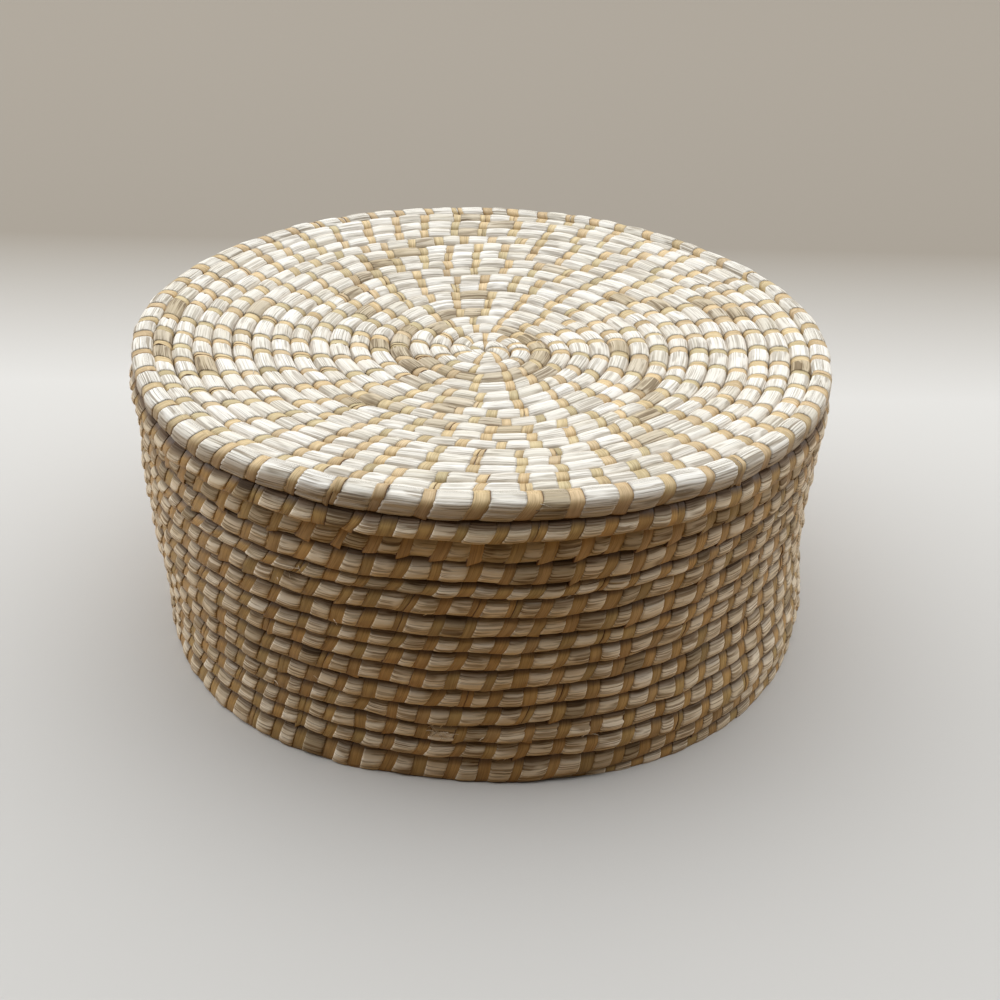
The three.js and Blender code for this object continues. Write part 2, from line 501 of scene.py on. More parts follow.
@dataclass(frozen=True)
class Look:
    """How a bundle and its strips are cut and swell, in corners, millimetres and shares."""

    # Corners round the bundle and round a strip, on the side that shows and on the hidden one
    corners: tuple = (16, 7)
    strip_corners: tuple = (12, 6)
    # How far the strips pinch the bundle, how far it swells between them, the share of this that goes across
    # the row, and the share that is held back at the row's lower edge
    pinch: float = 0.85
    swell: float = 0.3
    across_push: float = 0.12
    held: float = 0.85
    # Depth of the grooves along the bundle, the share that are cracks, and the splits: from one azimuth to
    # another, in which turn, where across the row, how deep and in what share of the stretches
    groove: float = 0.08
    cracks: float = 0.03
    splits: tuple = ()
    # Strips, and the shares of them that are doubled, that hang over the row below and that are lifted
    thickness: float = 0.4
    doubles: float = 0.1
    tabs: float = 0.12
    lifted: float = 0.03
    # Azimuths of loose strips
    flaps: tuple = ()
    # Where the upper and the lower bands of painted shade start and end: in the creases, or on a face turned
    # from the light
    crease: tuple = (UPPER_CREASE, (0.8, 1.0))


WALL_LOOK = Look(splits=((-118, -66, 1, 0.5, 1.5, 0.6), (-97.5, -93, 1, 0.1, 2.2, 1.0)))
# The lowest row has a wide band of painted shade along its foot: a painted contact shadow
BASE_EDGE_LOOK = replace(
    WALL_LOOK, splits=((-96.5, -91, 0, 0.72, 1.6, 1.0),), crease=(UPPER_CREASE, (0.4, 1.0)),
)
RAGGED_LOOK = replace(
    WALL_LOOK, groove=0.16, cracks=0.1, splits=((-170, 0, 0, -0.5, 2.2, 0.9),), tabs=0.75,
    crease=(NO_CREASE, (0.8, 1.0)),
)
LID_LOOK = replace(
    WALL_LOOK, corners=(20, 7), pinch=0.5, swell=0.38, across_push=0.6, held=0.0, groove=0.1, cracks=0.04,
    splits=(), tabs=0.0, lifted=0.05, crease=((0.5, 1.0), (0.5, 1.0)),
)
# The lid's edge row has shade painted on its lower outer face, which faces away from the light
EDGE_LOOK = replace(
    LID_LOOK, corners=(20, 8), strip_corners=(20, 8), pinch=0.4, swell=0.3, across_push=1.0, doubles=0.06,
    tabs=0.25, flaps=(-109, -104), crease=(NO_CREASE, (-0.85, 0.3)),
)
LID_RIM_LOOK = replace(WALL_LOOK, splits=(), crease=(UPPER_CREASE, (0.85, 1.0)))
HIDDEN_LOOK = replace(WALL_LOOK, corners=(10, 6), strip_corners=(8, 5), tabs=0.0, splits=())


def add_mesh(name, points, quads, caps, attributes, material, body, replaced=()):
    """A closed mesh of quads, with end caps of many corners, facing outwards."""
    points = points.reshape(-1, 3)
    first, second, third, fourth = (points[quads[:, corner]] for corner in range(4))
    swept = np.einsum("ij,ij->i", first, np.cross(second, third) + np.cross(third, fourth)).sum()
    if swept < 0:
        quads = quads[:, ::-1]
        caps = [cap[::-1] for cap in caps]
    loops = np.concatenate([quads.ravel(), *caps]).astype(np.int32)
    sizes = np.concatenate([np.full(len(quads), 4), [len(cap) for cap in caps]]).astype(np.int32)
    starts = np.concatenate([[0], np.cumsum(sizes)[:-1]]).astype(np.int32)
    mesh = bpy.data.meshes.new(name)
    mesh.vertices.add(len(points))
    mesh.vertices.foreach_set("co", points.astype(np.float32).ravel())
    mesh.loops.add(len(loops))
    mesh.loops.foreach_set("vertex_index", loops)
    mesh.polygons.add(len(sizes))
    mesh.polygons.foreach_set("loop_start", starts)
    mesh.update(calc_edges=True)
    mesh.validate()
    mesh.shade_smooth()
    for label, values in attributes.items():
        layer = mesh.attributes.new(label, "FLOAT_VECTOR", "POINT")
        layer.data.foreach_set("vector", values.astype(np.float32).ravel())
    mesh.materials.append(material)
    piece = bpy.data.objects.new(name, mesh)
    scene.collection.objects.link(piece)
    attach(piece, body)
    if replaced:
        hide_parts(*replaced)


def ring_quads(rings, sides, closed=False):
    """Quads between neighbouring rings of corners, and from the last ring to the first where they close."""
    ring = np.arange(rings if closed else rings - 1)[:, None]
    corner = np.arange(sides)[None, :]
    beside = (corner + 1) % sides
    here = ring * sides
    ahead = (ring + 1) % rings * sides
    return np.stack([here + corner, here + beside, ahead + beside, ahead + corner], -1).reshape(-1, 4)


def repeated(quads, count, corners):
    """The same quads for a number of pieces, each with so many corners."""
    return (np.arange(count)[:, None, None] * corners + quads[None]).reshape(-1, 4)


def vectors(shape, *values):
    """Three values for each point, as a vector attribute."""
    return np.stack([np.broadcast_to(value, shape) for value in values], -1)


def per_length(values):
    return np.asarray(values)[:, None, None]


def shared_out(name, count, parts):
    """Stretches or strips shared out among the parts of a bundle: each part's name, first and end."""
    if parts == 1:
        return [(name, 0, count)]
    bounds = np.linspace(0, count, parts + 1).astype(int)
    return [(f"{name}_{part + 1}", bounds[part], bounds[part + 1]) for part in range(parts)]


# Where the lower edge of a row starts to be held back, and where it is held most
HELD_ZONE = (0.2, 0.75)
# Each stretch and each strip has its own place in the grain, and its own brightness
GRAIN_SEEDS = (0, 100)
BRIGHTNESS = (0.5, 0.2)


def creased(across, bands):
    """How deep in the upper or the lower crease each corner is, from 0 to 1: how much painted shade it gets.
    """
    upper, lower = bands
    return np.maximum(rising(across, upper), rising(-across, lower))


def held(across, share):
    """How much of the swelling a corner follows: less towards the straight lower edge of a wall row."""
    return 1 - share * rising(-across, HELD_ZONE)


# Along a stretch between two strips: where its rings are, and how far they swell. Its ends puff out over the
# strips beside them, and it starts a little under them, at a share of their width from their middle.
STRETCH = np.array([0.0, -0.03, 0.06, 0.3, 0.7, 0.94, 1.03, 1.0])
SWELL = np.array([0.0, 0.55, 0.84, 1.0, 1.0, 0.84, 0.55, 0.0])
UNDER_STRIP = 0.46
# How much stretches differ, and how deep their cracks and splits are
FAT_SPREAD = 0.22
RAGGEDNESS = 0.05
CRACK_DEPTHS = (0.3, 0.7)
SPLIT_DEPTHS = (0.5, 1)
SPLIT_REACH = 0.16


def split_grooves(rng, coil, middles, section, splits):
    """How deep the bundle is split along each stretch."""
    azimuth = np.degrees(coil.read(coil.azimuth, middles))
    turns = coil.read(coil.turns, middles)
    depth = np.zeros((len(middles), section.count))
    for first, last, turn, across, deepest, share in splits:
        turned = (azimuth - first) % 360 < (last - first) % 360
        chosen = turned & (np.floor(turns) == turn) & (rng.random(len(middles)) < share)
        line = (section.out > 0) & (np.abs(section.across - across) < SPLIT_REACH)
        depth += (chosen * rng.uniform(*SPLIT_DEPTHS, len(middles)) * deepest)[:, None] * line
    return depth


def stretch_rings(coil, stitches):
    """Rings of each stretch and of the strip after it: the stretch's middle, their places and slants."""
    begin = np.concatenate([[coil.first], stitches.at + stitches.width * UNDER_STRIP])
    end = np.concatenate([stitches.at - stitches.width * UNDER_STRIP, [coil.last]])
    slant = np.concatenate([[stitches.slant[0]], stitches.slant, [stitches.slant[-1]]])
    along = begin[:, None] + (end - begin)[:, None] * STRETCH
    lean = slant[:-1, None] + (slant[1:] - slant[:-1])[:, None] * STRETCH
    along = np.concatenate([along, np.append(stitches.at, coil.last)[:, None]], 1)
    lean = np.concatenate([lean, np.append(stitches.slant, 0)[:, None]], 1)
    return (begin + end) / 2, along, lean


def core_pieces(name, rng, coil, stitches, natural, look, material, body, replaced, parts):
    """The bundle itself, which swells between its stitches, in one or more closed lengths."""
    section = Section(coil.squareness, *look.corners)
    middles, along, lean = stretch_rings(coil, stitches)
    stretches, rings = along.shape
    swell = np.append(SWELL, 0)

    fat = rng.normal(1, FAT_SPREAD, stretches)
    push = -look.pinch + (look.pinch + look.swell * fat[:, None]) * swell
    grooves = rng.normal(0, look.groove, (stretches, section.count))
    cracked = rng.random((stretches, section.count)) < look.cracks
    grooves -= cracked * rng.uniform(*CRACK_DEPTHS, cracked.shape)
    grooves -= split_grooves(rng, coil, middles, section, look.splits)
    ragged = rng.normal(0, RAGGEDNESS, (stretches, rings, section.count))
    uneven = (grooves[:, None, :] + ragged) * swell[:, None]
    push = push[:, :, None] * held(section.across, look.held) + uneven

    half = coil.read(coil.half, along)
    length = along[:, :, None] + (lean * half)[:, :, None] * section.across
    points = coil.points(
        np.clip(length, coil.first, coil.last),
        section.across,
        section.out,
        push * section.facing_across * look.across_push,
        push * section.facing_out,
    )
    shape = length.shape
    share, bright = natural(coil, middles, rng)
    attributes = {
        "grain": vectors(shape, length, section.walk, per_length(rng.uniform(*GRAIN_SEEDS, stretches))),
        # The third tone value is how much shade is painted there, in the creases
        "tone": vectors(shape, per_length(share), per_length(bright), creased(section.across, look.crease)),
    }

    # The bundle's end needs no ring for a strip after it
    points = points.reshape(-1, section.count, 3)[:-1]
    attributes = {label: values.reshape(-1, section.count, 3)[:-1] for label, values in attributes.items()}
    corner = np.arange(section.count)
    for part_name, first, last in shared_out(name, stretches, parts):
        lengths = slice(first * rings, last * rings)
        count = len(points[lengths])
        caps = [corner[::-1], (count - 1) * section.count + corner]
        add_mesh(
            part_name, points[lengths], ring_quads(count, section.count), caps,
            {label: values[lengths] for label, values in attributes.items()}, material, body, replaced,
        )


# Across a strip: from its raised edge over the top to its tucked edge, and back underneath
STRIP_ACROSS = np.array([-1.0, -0.92, -0.35, 0.35, 0.85, 1.0, 0.0])
STRIP_HEIGHT = np.array([0.1, 0.95, 1.05, 0.95, 0.75, 0.3, -0.9])
STRIP_TAPER = 0.16
THICKNESSES = (0.85, 1.2)
STRIP_RIPPLE = 0.03
# A doubled strip: how far its halves are from its middle, how wide they are, and how they splay
DOUBLE_OFFSET = 0.25
DOUBLE_WIDTHS = (0.52, 0.5)
DOUBLE_SPLAY = 0.03
# Strips lifted at their raised edge: how far, and the middle and reach of the lift across the row
LIFTS = (0.4, 0.9)
LIFT_PLACE = (0.2, 0.5)
# Loose strips of the lid's edge: how far they stand off, most at one edge, and where
FLAP_LIFT = 2.2
FLAP_EVEN_SHARE = 0.7
FLAP_PLACE = (0.4, 0.6)
FLAP_START = 0.6
# Corners of strips that hang over the row below: how far, where across the row, and the share at each edge
TAB_LENGTHS = (0.5, 1.3)
TAB_PLACE = (-0.78, 0.22)
TAB_SHARES = [0.7, 0.3]
TAB_OUT_SHARE = 0.5


def near_azimuths(coil, at, wanted):
    """Which strips are the nearest ones to the wanted azimuths, in degrees."""
    azimuth = coil.read(coil.azimuth, at)
    chosen = np.zeros(len(at), bool)
    for degrees in wanted:
        chosen[np.argmin(np.abs(half_turn(azimuth - math.radians(degrees))))] = True
    return chosen


def doubled(rng, at, width, slant, share):
    """Strips, of which a share are in two narrow halves, in order along the bundle."""
    double = rng.random(len(at)) < share
    offset = width * DOUBLE_OFFSET
    first, second = (width[double] * narrowed for narrowed in DOUBLE_WIDTHS)
    at = np.concatenate([at[~double], (at - offset)[double], (at + offset)[double]])
    slant = np.concatenate([slant[~double], slant[double], slant[double] + DOUBLE_SPLAY])
    width = np.concatenate([width[~double], first, second])
    order = np.argsort(at)
    return at[order], width[order], slant[order]


def strip_rise(rng, coil, look, at, across, out, side):
    """How far each point of the strips stands off the bundle."""
    count = len(at)
    thick = rng.uniform(*THICKNESSES, count) * look.thickness
    rise = -look.pinch * held(across, look.held) + per_length(thick) * STRIP_HEIGHT
    rise = rise + rng.normal(0, STRIP_RIPPLE, (count, across.shape[1], 1))
    lifted = (rng.random(count) < look.lifted) * rng.uniform(*LIFTS, count)
    rise = rise + per_length(lifted) * (0.5 - 0.5 * side) ** 2 * bell(across, *LIFT_PLACE) * (out > 0)
    loose = per_length(near_azimuths(coil, at, look.flaps) * FLAP_LIFT)
    tilt = FLAP_EVEN_SHARE + (1 - FLAP_EVEN_SHARE) * side
    return rise + loose * tilt * bell(out, *FLAP_PLACE) * (across > FLAP_START)


def strip_tabs(rng, look, count, across, out, side):
    """How far each point of the strips hangs over the row below."""
    hang = (rng.random(count) < look.tabs) * rng.uniform(*TAB_LENGTHS, count)
    corner = per_length(rng.choice([-1.0, 1.0], count, p=TAB_SHARES))
    return per_length(hang) * bell(across, *TAB_PLACE) * (out > 0) * (0.5 + 0.5 * corner * side)


def strip_pieces(name, rng, coil, stitches, look, material, body, parts):
    """The strips round a bundle: closed bands, some of them in two narrow halves."""
    section = Section(coil.squareness, *look.strip_corners)
    at, width, slant = stitches.at, stitches.width, stitches.slant
    if coil.ring:
        at = np.append(at, coil.last)
        width = np.append(width, width[0])
        slant = np.append(slant, slant[0])
    at, width, slant = doubled(rng, at, width, slant, look.doubles)
    count = len(at)

    across = section.across[None, :, None]
    out = section.out[None, :, None]
    side = STRIP_ACROSS[None, None, :]
    taper = 1 - STRIP_TAPER * np.abs(across) ** 4
    sideways = per_length(width / 2) * taper * side
    length = per_length(at) + per_length(slant * coil.read(coil.half, at)) * across + sideways
    rise = strip_rise(rng, coil, look, at, across, out, side)
    tab = strip_tabs(rng, look, count, across, out, side)
    points = coil.points(
        np.clip(length, coil.length[0], coil.length[-1]),
        across,
        out,
        rise * section.facing_across[None, :, None] * look.across_push - tab,
        rise * section.facing_out[None, :, None] + TAB_OUT_SHARE * tab,
    )
    shape = length.shape
    bright = np.clip(rng.normal(*BRIGHTNESS, count), 0, 1)
    seeds = rng.uniform(*GRAIN_SEEDS, count)
    hues = rng.random(count)
    attributes = {
        "grain": vectors(shape, section.walk[None, :, None], sideways, per_length(seeds)),
        # The third tone value is how much shade is painted there, in the creases
        "tone": vectors(shape, per_length(hues), per_length(bright), creased(across, look.crease)),
        "edge": vectors(shape, side / 2 + 0.5, 0, 0),
    }

    sides = len(STRIP_ACROSS)
    band = ring_quads(section.count, sides, closed=True)
    for part_name, first, last in shared_out(name, count, parts):
        chosen = slice(first, last)
        add_mesh(
            part_name, points[chosen], repeated(band, last - first, section.count * sides), [],
            {label: values[chosen] for label, values in attributes.items()}, material, body,
        )


# Loose ends of single fibres: rings along each, corners round it, and how much they vary
FRAY_STEPS = np.array([0.0, 0.4, 0.75, 1.0])
FRAY_CORNERS = np.radians([90, 210, 330])
FRAY_ALONG_SPREAD = 1.8
FRAY_ACROSS_SPREAD = 0.22
FRAY_DRIFT = 0.3
FRAY_TAPER = 0.8
# Single fibres all over a bundle: places across the row, and how many at each
SCATTER_ACROSS = (-0.5, 0.6)
SCATTER_COUNTS = (1, 3)


def frayed_ends(name, seed, coil, spots, material, body):
    """Loose ends at spots, each an azimuth in degrees, a turn, a place across the row and a count."""
    rng = np.random.default_rng(seed)
    counts = [spot[3] for spot in spots]
    start = np.repeat([coil.at_azimuth(degrees, turn) for degrees, turn, _, _ in spots], counts)
    across = np.repeat([place for _, _, place, _ in spots], counts)
    count = len(start)
    start = start + rng.normal(0, FRAY_ALONG_SPREAD, count)
    across = np.clip(across + rng.normal(0, FRAY_ACROSS_SPREAD, count), -0.9, 0.9)
    way = rng.choice([-1, 1], count)
    reach = rng.uniform(1, 4, count)
    lift = rng.uniform(0.2, 1.3, count)
    drift = rng.normal(0, FRAY_DRIFT, count)
    half_width = rng.uniform(0.12, 0.24, count)

    step = FRAY_STEPS[None, :, None]
    turned = per_length(way) * FRAY_CORNERS
    here = np.clip(per_length(across) + per_length(drift) * step, -0.95, 0.95)
    out = (1 - np.abs(here) ** coil.squareness) ** (1 / coil.squareness)
    width = per_length(half_width) * (1 - FRAY_TAPER * step)
    length = per_length(start) + per_length(way * reach) * step
    points = coil.points(
        length, here, out, width * np.cos(turned), per_length(lift) * step ** 2 + width * np.sin(turned),
    )
    shape = points.shape[:3]
    bright = rng.uniform(0.4, 1, count)
    walk = rng.uniform(0, 10, count)
    seeds = rng.uniform(*GRAIN_SEEDS, count)
    brown = rng.uniform(0, 0.3, count)
    attributes = {
        "grain": vectors(shape, length, per_length(walk), per_length(seeds)),
        "tone": vectors(shape, per_length(brown), per_length(bright), 0),
    }

    steps, corners = len(FRAY_STEPS), len(FRAY_CORNERS)
    root = np.arange(corners)[::-1]
    tip = (steps - 1) * corners + np.arange(corners)
    caps = [cap + offset for offset in np.arange(count) * steps * corners for cap in (root, tip)]
    quads = repeated(ring_quads(steps, corners), count, steps * corners)
    add_mesh(name, points, quads, caps, attributes, material, body)


def scattered(seed, turns, count):
    """Places for single loose fibres all over a bundle."""
    rng = np.random.default_rng(seed)
    spots = []
    for _ in range(count):
        azimuth, turn = rng.uniform(0, 360), rng.integers(turns)
        spots.append((azimuth, turn, rng.uniform(*SCATTER_ACROSS), rng.integers(*SCATTER_COUNTS)))
    return spots


class Nodes:
    """Short ways to add nodes to a material or the world."""

    def __init__(self, owner, shader="Principled BSDF"):
        owner.use_nodes = True
        self.owner = owner
        self.tree = owner.node_tree
        self.shader = self.tree.nodes[shader]

    def set(self, node, inputs):
        """Link a node's inputs to other nodes, or give them values."""
        for key, value in inputs.items():
            if isinstance(value, bpy.types.NodeSocket):
                self.tree.links.new(value, node.inputs[key])
            else:
                node.inputs[key].default_value = value

    def add(self, kind, inputs, **settings):
        node = self.tree.nodes.new(kind)
        for key, value in settings.items():
            setattr(node, key, value)
        self.set(node, inputs)
        return node.outputs

    def attribute(self, name):
        return self.add("ShaderNodeAttribute", {}, attribute_name=name)["Vector"]

    def parts(self, vector):
        return self.add("ShaderNodeSeparateXYZ", {0: vector})

    def scaled(self, vector, scale):
        return self.add("ShaderNodeVectorMath", {0: vector, 1: scale}, operation="MULTIPLY")["Vector"]

    def noise(self, vector, scale, detail):
        inputs = {"Vector": self.scaled(vector, scale), "Scale": 1.0, "Detail": detail}
        return self.add("ShaderNodeTexNoise", inputs)["Fac"]

    def cells(self, vector, scale, feature, output):
        inputs = {"Vector": self.scaled(vector, scale), "Scale": 1.0}
        return self.add("ShaderNodeTexVoronoi", inputs, feature=feature)[output]

    def ramp(self, factor, stops):
        node = self.tree.nodes.new("ShaderNodeValToRGB")
        while len(node.color_ramp.elements) < len(stops):
            node.color_ramp.elements.new(0.5)
        for element, (position, colour) in zip(node.color_ramp.elements, stops):
            element.position = position
            element.color = (*colour, 1)
        self.set(node, {"Fac": factor})
        return node.outputs["Color"]

    def mix(self, factor, first, second, blend="MIX"):
        first, second = ((*colour, 1) if isinstance(colour, tuple) else colour for colour in (first, second))
        inputs = {0: factor, 6: first, 7: second}
        return self.add("ShaderNodeMix", inputs, data_type="RGBA", blend_type=blend)[2]

    def multiply(self, colour, shade, share=1.0):
        return self.mix(share, colour, shade, "MULTIPLY")

    def spread(self, value, source, target):
        """A value brought from one range to another."""
        return self.add("ShaderNodeMapRange", dict(enumerate((value, *source, *target))))[0]

    def math(self, operation, first, second):
        return self.add("ShaderNodeMath", {0: first, 1: second}, operation=operation, use_clamp=True)[0]

    def with_painted_shade(self, colour, crease, share, painted_shade):
        """A colour with shade painted into the creases."""
        return self.mix(self.spread(crease, (0, 1), (0, share)), colour, self.multiply(colour, painted_shade))

    def looked_at(self):
        """1 where the surface is seen, straight or in a gloss, and 0 where it only gives light."""
        rays = self.add("ShaderNodeLightPath", {})
        seen = self.math("ADD", rays["Is Camera Ray"], rays["Is Glossy Ray"])
        return self.math("ADD", seen, rays["Is Transmission Ray"])

    def finish(self, colour, roughness, specular, height):
        relief = {"Height": height, "Strength": BUMP_STRENGTH, "Distance": BUMP_DISTANCE}
        self.set(self.shader, {
            "Base Color": colour,
            "Roughness": roughness,
            "Specular IOR Level": specular,
            "Normal": self.add("ShaderNodeBump", relief)["Normal"],
        })
        return self.owner


WHITE = (1, 1, 1)
BUMP_STRENGTH = 0.4
# In metres
BUMP_DISTANCE = 0.0004
# Middle of the noise, in which the gloss changes
NOISE_MIDDLE = (0.3, 0.7)
# Grain of the bundles: how often it changes for each millimetre along, round, and for each change of seed
BLADE_SCALE = (0.014, 0.95, 1.0)
BROAD_SCALE = (0.04, 0.45, 1.0)
FINE_SCALE = (0.05, 1.6, 1.0)
PATCH_SCALE = (0.07, 0.30, 1.0)
BLADE_SHADES = [(0.0, (0.94, 0.925, 0.89)), (0.4, WHITE)]
FINE_SHADES = [(0.40, (0.50, 0.45, 0.38)), (0.45, WHITE)]
STRETCH_SHADES = [(0.0, (0.87, 0.84, 0.77)), (0.5, (0.98, 0.965, 0.935)), (1.0, (1.03, 1.03, 1.03))]
# Lines between blades: how wide they are, in which patches they show and how much, and how often where brown
LINE_WIDTHS = (0.06, 0.16)
LINE_PATCHES = (0.45, 0.56)
LINE_SHOWN = (0.05, 1)
BROWN_LINE_SHARE = 0.9
BLADE_RELIEF = (0.0, 0.2)
FIBRE_ROUGHNESS = (0.85, 0.6)
FIBRE_SPECULAR = 0.25
# Grain of the strips, along the strip and across it
STRIP_FINE_SCALE = (0.08, 2.4, 1.0)
STRIP_BROAD_SCALE = (0.12, 0.5, 1.0)
STRIP_HUE_PLACES = (0.0, 0.35, 0.7, 1.0)
STRIP_PATCHES = [(0.3, (0.84, 0.82, 0.77)), (0.6, (1.06, 1.06, 1.05))]
STRIP_LINES = [(0.34, (0.56, 0.49, 0.39)), (0.52, WHITE)]
STRIP_LINE_SHARE = 0.6
STRIP_SHADES = [(0.0, (0.78, 0.76, 0.72)), (0.5, WHITE), (1.0, (1.14, 1.14, 1.14))]
# From the raised edge of a strip to its tucked edge: painted shade, a thin dark line along the raised edge
# and lighter at the tucked edge, where the grooves beside the strip are
STRIP_EDGE_PAINTED_SHADE = [
    (0.04, (0.26, 0.16, 0.07)), (0.09, (0.82, 0.78, 0.70)), (0.35, WHITE), (0.93, WHITE),
    (1.0, (0.8, 0.76, 0.7)),
]
STRIP_ROUGHNESS = (0.52, 0.38)
STRIP_SPECULAR = 0.4


def fibre_material(name, pale_stops, brown_stops, line_share, line_colour, fine_share, crease_share, painted_shade):
    """Bundles of split grass, bleached or brown, in long blades with dark lines between some, and with shade
    painted into the creases.
    """
    nodes = Nodes(bpy.data.materials.new(name))
    grain = nodes.attribute("grain")
    natural, bright, crease = nodes.parts(nodes.attribute("tone"))
    broad = nodes.noise(grain, BROAD_SCALE, 2.0)
    fine = nodes.noise(grain, FINE_SCALE, 2.0)
    patches = nodes.noise(grain, PATCH_SCALE, 1.0)
    border = nodes.cells(grain, BLADE_SCALE, "DISTANCE_TO_EDGE", "Distance")
    blade = nodes.parts(nodes.cells(grain, BLADE_SCALE, "F1", "Color"))[0]
    colour = nodes.mix(natural, nodes.ramp(broad, pale_stops), nodes.ramp(broad, brown_stops))
    colour = nodes.multiply(colour, nodes.ramp(blade, BLADE_SHADES))
    line = nodes.spread(border, LINE_WIDTHS, (1, 0))
    line = nodes.math("MULTIPLY", line, nodes.spread(patches, LINE_PATCHES, LINE_SHOWN))
    often = nodes.spread(natural, (0, 1), (line_share, BROWN_LINE_SHARE))
    colour = nodes.mix(nodes.math("MULTIPLY", line, often), colour, nodes.multiply(colour, line_colour))
    colour = nodes.multiply(colour, nodes.ramp(fine, FINE_SHADES), fine_share)
    colour = nodes.multiply(colour, nodes.ramp(bright, STRETCH_SHADES))
    # Shade painted into the creases
    colour = nodes.with_painted_shade(colour, crease, crease_share, painted_shade)
    roughness = nodes.spread(fine, NOISE_MIDDLE, FIBRE_ROUGHNESS)
    height = nodes.mix(0.5, nodes.spread(border, BLADE_RELIEF, (0, 1)), fine)
    return nodes.finish(colour, roughness, FIBRE_SPECULAR, height)


def strip_material(name, hues, crease_share, painted_shade):
    """Tan leaf strips with a satin face, grained along the strip, with a line of painted shade along the
    raised edge.
    """
    nodes = Nodes(bpy.data.materials.new(name))
    grain = nodes.attribute("grain")
    hue, bright, crease = nodes.parts(nodes.attribute("tone"))
    edge = nodes.parts(nodes.attribute("edge"))[0]
    fine = nodes.noise(grain, STRIP_FINE_SCALE, 3.0)
    broad = nodes.noise(grain, STRIP_BROAD_SCALE, 2.0)
    colour = nodes.ramp(hue, list(zip(STRIP_HUE_PLACES, hues)))
    colour = nodes.multiply(colour, nodes.ramp(broad, STRIP_PATCHES))
    colour = nodes.multiply(colour, nodes.ramp(fine, STRIP_LINES), STRIP_LINE_SHARE)
    colour = nodes.multiply(colour, nodes.ramp(bright, STRIP_SHADES))
    # Painted shade along the strip's edges
    colour = nodes.multiply(colour, nodes.ramp(edge, STRIP_EDGE_PAINTED_SHADE))
    # Shade painted into the creases
    colour = nodes.with_painted_shade(colour, crease, crease_share, painted_shade)
    roughness = nodes.spread(fine, NOISE_MIDDLE, STRIP_ROUGHNESS)
    return nodes.finish(colour, roughness, STRIP_SPECULAR, fine)


# Colours of the bundles by the broad grain, of the lines between blades, of the strips, and of the shade
# painted in the creases
PALE_LID = [(0.3, (0.81, 0.785, 0.725)), (0.5, (0.875, 0.86, 0.81)), (0.7, (0.89, 0.885, 0.85))]
# The wall's fibre is warmer than the lid's and its brown darker: partly a less bleached fibre, partly
# painted shade for the wall, which gets less light
PALE_WALL = [(0.3, (0.80, 0.69, 0.52)), (0.5, (0.96, 0.865, 0.70)), (0.7, (0.99, 0.93, 0.81))]
BROWN_LID = [(0.28, (0.435, 0.36, 0.245)), (0.5, (0.56, 0.475, 0.335)), (0.72, (0.66, 0.57, 0.42))]
BROWN_WALL = [(0.28, (0.32, 0.25, 0.155)), (0.5, (0.49, 0.40, 0.265)), (0.72, (0.62, 0.52, 0.37))]
LID_LINE = (0.36, 0.31, 0.25)
WALL_LINE = (0.42, 0.34, 0.25)
TAN_LID = [(0.55, 0.465, 0.27), (0.65, 0.52, 0.30), (0.67, 0.505, 0.285), (0.63, 0.495, 0.31)]
# The strips of the lid's edge row and of the wall are deeper than the lid's: partly their own tan, partly
# painted shade for faces that get less light
TAN_EDGE = [(0.55, 0.44, 0.245), (0.60, 0.46, 0.255), (0.62, 0.46, 0.26), (0.58, 0.44, 0.265)]
TAN_WALL = [(0.475, 0.335, 0.135), (0.515, 0.34, 0.13), (0.55, 0.335, 0.12), (0.49, 0.32, 0.14)]
# Colours of the shade painted into the creases, and onto the lower face of the lid's edge row
LID_PAINTED_SHADE = (0.34, 0.18, 0.06)
EDGE_PAINTED_SHADE = (0.40, 0.31, 0.22)
WALL_PAINTED_SHADE = (0.10, 0.05, 0.018)

# Each material paints shade into the creases, at the share and in the colour given last
lid_fibre = fibre_material(
    "lid_fibre", PALE_LID, BROWN_LID, line_share=0.55, line_colour=LID_LINE, fine_share=0.35,
    crease_share=0.2, painted_shade=LID_PAINTED_SHADE,
)
edge_fibre = fibre_material(
    "edge_fibre", PALE_LID, BROWN_LID, line_share=0.8, line_colour=LID_LINE, fine_share=0.45,
    crease_share=0.4, painted_shade=EDGE_PAINTED_SHADE,
)
wall_fibre = fibre_material(
    "wall_fibre", PALE_WALL, BROWN_WALL, line_share=0.85, line_colour=WALL_LINE, fine_share=0.75,
    crease_share=0.95, painted_shade=WALL_PAINTED_SHADE,
)
lid_strip = strip_material("lid_strip", TAN_LID, crease_share=0.2, painted_shade=LID_PAINTED_SHADE)
edge_strip = strip_material("edge_strip", TAN_EDGE, crease_share=0.45, painted_shade=LID_PAINTED_SHADE)
wall_strip = strip_material("wall_strip", TAN_WALL, crease_share=0.95, painted_shade=WALL_PAINTED_SHADE)

# How brown a pale stretch is, with its spread, and the most
PALE_BROWN = (0.04, 0.05)
PALE_BROWN_MOST = 0.3
SPOT_LEAST_BROWN = 0.7
STRAY_BROWN_SHARE = 0.02
# Brown stretches of the lid: azimuth in degrees, distance from the middle, and how far along the row they go
LID_BROWN = [
    (40, 25, 14), (0, 25, 18), (-35, 27, 14), (-65, 27, 14), (-95, 27, 14), (-125, 28, 12), (-40, 35, 10),
    (165, 35, 16), (190, 36, 16), (205, 37, 10), (140, 33, 8), (110, 42, 10),
    (2, 58, 10), (-12, 67, 9), (-25, 79, 9), (-38, 89, 9), (-46, 98, 9), (-55, 110, 9),
    (150, 66, 10), (143, 79, 10), (133, 90, 9), (123, 100, 10), (116, 106, 8),
    (-97, 53, 9), (-105, 62, 9), (-122, 70, 9), (-128, 78, 8),
    (96, 124, 8), (90, 133, 8), (16, 107, 9), (-9, 134, 8), (43, 82, 9), (31, 92, 9),
    (176, 137, 14), (190, 137, 14),
]
